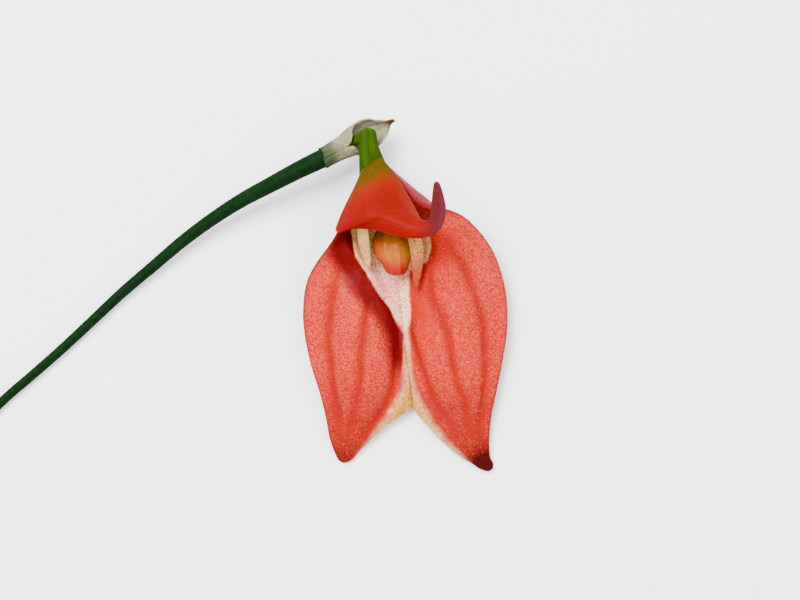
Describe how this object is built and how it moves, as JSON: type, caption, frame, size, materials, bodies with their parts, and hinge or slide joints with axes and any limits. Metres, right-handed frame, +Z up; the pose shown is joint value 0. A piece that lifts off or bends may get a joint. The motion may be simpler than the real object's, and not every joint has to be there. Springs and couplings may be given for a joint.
{
  "type": "masdevallia orchid flower",
  "caption": "Cut orchid flower lying face up: broad fused lower sepals, a hooded upper sepal with an upturned tail, and a thin arching stalk.",
  "frame": {"origin": "on the surface that the flower lies on, under the middle of its bounding box", "axes": "+Z up from the surface, through the flower's open face; -Y towards the tips of the lower sepals; the stalk leaves towards -X"},
  "size_m": [0.089, 0.0588, 0.0187],
  "materials": {
    "scape_green": "dark green stalk skin, satin",
    "bract_paper": "dry papery sheath, matt",
    "ovary_green": "bright green ribbed skin, satin",
    "dorsal_orange": "smooth orange-red petal skin, satin",
    "sepal_coral": "coral red petal skin with fine pale cells, satin",
    "petal_cream": "cream petal skin, satin",
    "lip_orange": "fleshy orange tongue, waxy",
    "column_yellow": "yellow waxy tissue",
    "cap_white": "cream waxy cap"
  },
  "bodies": {
    "root": {"scape": "scape_green", "bract": "bract_paper", "ovary": "ovary_green", "dorsal_sepal": "dorsal_orange", "synsepal": "sepal_coral", "petal_left": "petal_cream", "petal_right": "petal_cream", "lip": "lip_orange", "column": "column_yellow", "anther_cap": "cap_white"}
  },
  "joints": []
}
